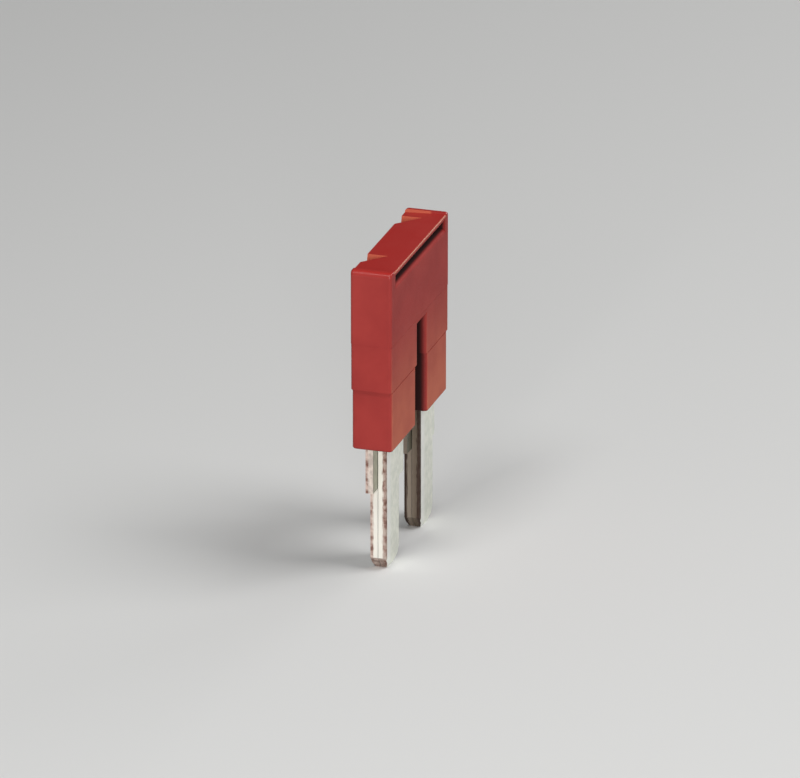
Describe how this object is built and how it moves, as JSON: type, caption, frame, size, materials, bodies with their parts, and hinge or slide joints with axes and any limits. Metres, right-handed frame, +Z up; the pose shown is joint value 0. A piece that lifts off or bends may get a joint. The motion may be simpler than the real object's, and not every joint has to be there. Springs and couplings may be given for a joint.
{
  "type": "terminal block jumper",
  "caption": "Flat moulded housing with a lever slot under its top lip, round a folded metal comb whose blade prongs plug in to bridge neighbouring terminal blocks.",
  "frame": {"origin": "midway between the prongs, on the underside of the housing's legs", "axes": "+Z up out of the terminal block, X along the row of poles, -Y towards the face with the lever slot"},
  "size_m": [0.0139, 0.0032, 0.0236],
  "materials": {
    "red_plastic": "fine satin moulding, rounded edges a little glossier",
    "tinned_copper": "bright tin plate on copper, with bare copper along the sheared edges"
  },
  "bodies": {
    "root": {"housing": "red_plastic", "contact_comb": "tinned_copper"}
  },
  "joints": []
}
